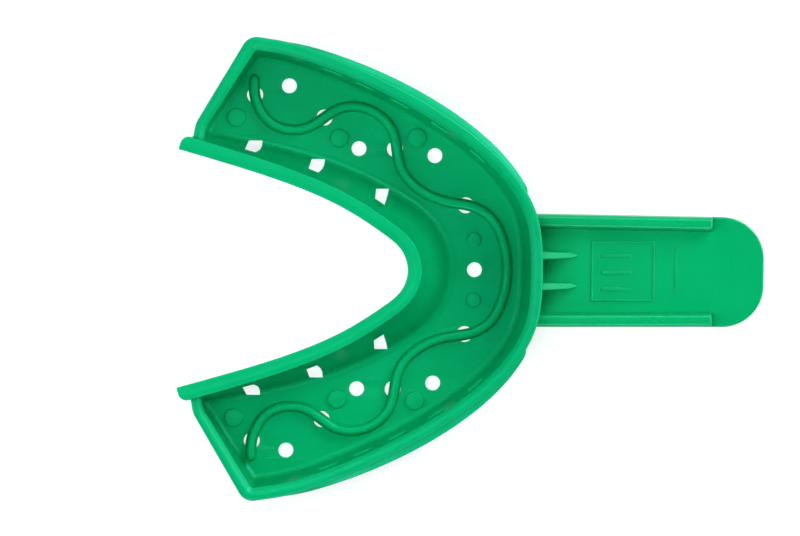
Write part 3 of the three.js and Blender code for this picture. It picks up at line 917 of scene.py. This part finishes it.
def make_handle_plate():
    half = handle_half_width(RIM_EDGE[0][0])
    root_line = rim_path.line(foot - WALL + HANDLE_REACH)
    root_line = root_line[root_line[:, 1] < half]
    start = root_line[-1][0] - EMBED
    corners = [
        (start, half, 0),
        (HANDLE_TIP, HANDLE_TIP_HALF_WIDTH, HANDLE_TIP_RADIUS),
        (HANDLE_TIP, -HANDLE_TIP_HALF_WIDTH, HANDLE_TIP_RADIUS),
        (start, -half, 0),
    ]
    x, y = rounded(corners, 1, steps=14)
    inner = np.vstack([(root_line * [1, -1])[::-1], root_line[1:]])
    outline = np.vstack([np.column_stack([x[:, 0], y[:, 0]]), inner])
    profile = edge_profile(0, HANDLE_TOP, HANDLE_FOOT_ROUNDING, HANDLE_EDGE_ROUNDING)
    piece(plate("handle_flat", outline, profile), ["handle_plate", "handle_grip"], "handle_plastic")


def wall_outside(y, z):
    """The x of the outside of the front wall, a little inside its face."""
    share = np.clip((z - FLOOR_TOP) / (OUTER_RIM_UNDERSIDE - FLOOR_TOP), 0, 1)
    low = rim_path.line(foot - WALL + GUSSET_REACH)
    high = rim_path.line(rim - WALL + GUSSET_REACH)
    line = low + (high - low) * share
    return np.interp(abs(y), line[: rim_path.arch_count, 1], line[: rim_path.arch_count, 0])


def make_rail(side_name, side):
    """A rail along one edge of the handle, which rounds down and narrows at its end."""
    lead = np.linspace(0, 1, 6)
    drops = RAIL_END_DROP * (1 - np.sqrt(1 - lead**2))
    plain = [box_mm("handle_rail_left")[0][0] - RAIL_REACH, *RAIL_STATIONS]
    xs = np.concatenate([plain, RAIL_END - RAIL_END_DROP + RAIL_END_DROP * lead])
    fall = np.concatenate([np.zeros(len(plain)), drops])
    outer = handle_half_width(xs) + HAIR
    corners = [
        (outer - fall * 0.3, RAIL_ROOT, 0),
        (outer - RAIL_OUTER_SLOPE - fall * 0.6, RAIL_TOP - fall, RAIL_ROUNDING),
        (outer - RAIL_WIDTH + RAIL_INNER_SLOPE + fall * 0.5, RAIL_TOP - fall, RAIL_ROUNDING),
        (outer - RAIL_WIDTH + fall * 0.5, HANDLE_TOP, RAIL_FOOT_FILLET),
        (outer - RAIL_WIDTH + fall * 0.5 + 0.1, RAIL_ROOT, 0),
    ]
    across, up = rounded(corners, len(xs), steps=5)
    columns = [np.column_stack([xs, a * side, z]) for a, z in zip(across, up)]
    obj = lofted(f"handle_rail_{side_name}_bar", np.stack(columns, axis=1))
    piece(obj, [f"handle_rail_{side_name}"], "handle_plastic")


def make_gusset(side_name):
    """A rib that slopes from the front wall down to the handle."""
    low, high = box_mm(f"handle_gusset_{side_name}")
    middle = (low[1] + high[1]) / 2
    sizes = np.linspace(1, GUSSET_TIP, 12)
    tops = HANDLE_TOP + (high[2] + GUSSET_RISE - HANDLE_TOP) * sizes
    starts = wall_outside(middle, tops[0])
    xs = starts + (high[0] - starts) * (1 - sizes) / (1 - sizes[-1])
    crown = GUSSET_HALF_WIDTH + GUSSET_SPREAD * sizes
    crown[-3:] *= (0.95, 0.75, 0.3)  # the tip is rounded off
    base = crown + GUSSET_FOOT + GUSSET_SPREAD * sizes
    corners = [
        (middle - base, HANDLE_TOP - EMBED, 0),
        (middle + base, HANDLE_TOP - EMBED, 0),
        (middle + crown, tops, GUSSET_ROUNDING),
        (middle - crown, tops, GUSSET_ROUNDING),
    ]
    across, up = rounded(corners, len(xs), steps=4)
    columns = [np.column_stack([xs, a, z]) for a, z in zip(across, up)]
    obj = lofted(f"handle_gusset_{side_name}_rib", np.stack(columns, axis=1))
    piece(obj, [f"handle_gusset_{side_name}"], "handle_plastic")


def rectangle(low, high):
    corners = [(low[0], low[1]), (high[0], low[1]), (high[0], high[1]), (low[0], high[1])]
    x, y = rounded([(*corner, MARK_CORNER_RADIUS) for corner in corners], 1, steps=4)
    return np.column_stack([x[:, 0], y[:, 0]])


def make_mark(node, line=None):
    """A raised bar on the handle, or with a line width, a raised frame."""
    low, high = box_mm(node)
    profile = edge_profile(low[2] - EMBED, low[2] + MARK_HEIGHT, 0, MARK_ROUNDING, steps=3)
    holes = [rectangle(low + line, high - line)] if line else []
    obj = plate(node + "_raised", rectangle(low, high), profile, holes, profile)
    piece(obj, [node], "handle_plastic")


make_handle_plate()
for side_name, side in (("left", 1), ("right", -1)):
    make_rail(side_name, side)
    make_gusset(side_name)
make_mark("handle_label_frame", MARK_LINE)
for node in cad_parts:
    if node.endswith("_bar") or "_bar_" in node:
        make_mark(node)


# ---- Stage, light and camera ----

LIGHT_DISTANCE = 0.9
OVERHEAD_DISTANCE = 0.25


def make_stage():
    """The glowing table the tray lies on."""
    size = 900
    drop = 0.05
    corners = [(-size, -size, -drop), (size, -size, -drop), (size, size, -drop), (-size, size, -drop)]
    obj = new_object("floor", corners, [(0, 1, 2, 3)])
    n = Nodes("light_table")
    n.give(n.shader.inputs["Base Color"], (0.35, 0.35, 0.35, 1))
    n.give(n.shader.inputs["Roughness"], 0.9)
    n.give(n.shader.inputs["Specular IOR Level"], 0)
    n.give(n.shader.inputs["Emission Color"], (0.98, 0.98, 1, 1))
    n.give(n.shader.inputs["Emission Strength"], 0.66)
    obj.data.materials.append(n.material)


def softbox(name, azimuth, elevation, size, watts, distance=LIGHT_DISTANCE):
    """A rectangular light that points at the origin, with its size and distance in metres."""
    light = bpy.data.lights.new(name, "AREA")
    light.shape = "RECTANGLE"
    light.size, light.size_y = size
    light.energy = watts
    obj = bpy.data.objects.new(name, light)
    a, e = math.radians(azimuth), math.radians(elevation)
    back = Vector((math.cos(a) * math.cos(e), math.sin(a) * math.cos(e), math.sin(e)))
    obj.location = back * distance
    obj.rotation_mode = "QUATERNION"
    obj.rotation_quaternion = (-back).to_track_quat("-Z", "Y")
    bpy.context.scene.collection.objects.link(obj)
    return obj


def make_camera():
    view = {"x": -12.25, "y": 0.31, "z": 8, "width": 137.7, "distance": 3500, "turn": 0.54}
    lean_x, lean_y = math.radians(1.05), math.radians(1.15)
    camera = bpy.data.cameras.new("camera")
    camera.sensor_width = 36
    camera.lens = camera.sensor_width * view["distance"] / view["width"]
    camera.clip_start = 0.05
    camera.clip_end = 10
    obj = bpy.data.objects.new("camera", camera)
    back = Vector((-math.sin(lean_x), math.sin(lean_y), math.cos(lean_x) * math.cos(lean_y)))
    obj.location = (Vector((view["x"], view["y"], view["z"])) + back * view["distance"]) * MM
    obj.rotation_mode = "QUATERNION"
    turn = math.radians(view["turn"])
    upward = back.cross(Vector((math.cos(turn), math.sin(turn), 0))).normalized()
    axes = Matrix((upward.cross(back), upward, back)).transposed()
    obj.rotation_quaternion = axes.to_quaternion()
    bpy.context.scene.collection.objects.link(obj)
    bpy.context.scene.camera = obj


def make_world(strength):
    world = bpy.data.worlds.new("studio")
    world.use_nodes = True
    back = world.node_tree.nodes["Background"]
    back.inputs["Color"].default_value = (1, 1, 1, 1)
    back.inputs["Strength"].default_value = strength
    bpy.context.scene.world = world


make_stage()
make_world(strength=0.01)

# The edge lights show in the gloss only, and the fill and overhead lights never do.
softbox("key_box", 45, 28, (0.5, 0.5), 5.1)
softbox("left_box", 180, 28, (0.5, 0.5), 2.8)
softbox("right_box", 0, 28, (0.5, 0.5), 1.2)
softbox("near_box", -80, 28, (0.7, 0.5), 1.7)
softbox("far_edge", 90, 36, (1.2, 0.4), 4.5).visible_diffuse = False
softbox("near_edge", -90, 30, (1.2, 0.25), 3.6).visible_diffuse = False
softbox("right_edge", 0, 22, (0.8, 0.4), 3).visible_diffuse = False
softbox("right_fill", 0, 58, (0.5, 0.5), 0.5).visible_glossy = False
softbox("near_fill", -90, 58, (0.5, 0.5), 0.35).visible_glossy = False
for name, x, size, watts in (("overhead_middle", -30, 60, 0.19), ("overhead_rear", -120, 100, 0.165)):
    light = softbox(name, 0, 90, (size * MM, size * MM), watts, OVERHEAD_DISTANCE)
    light.location.x = x * MM
    light.visible_glossy = False
make_camera()

settings = bpy.context.scene.view_settings
settings.view_transform = "Standard"
settings.exposure = 0.234
settings.gamma = 0.8

bpy.context.view_layer.update()
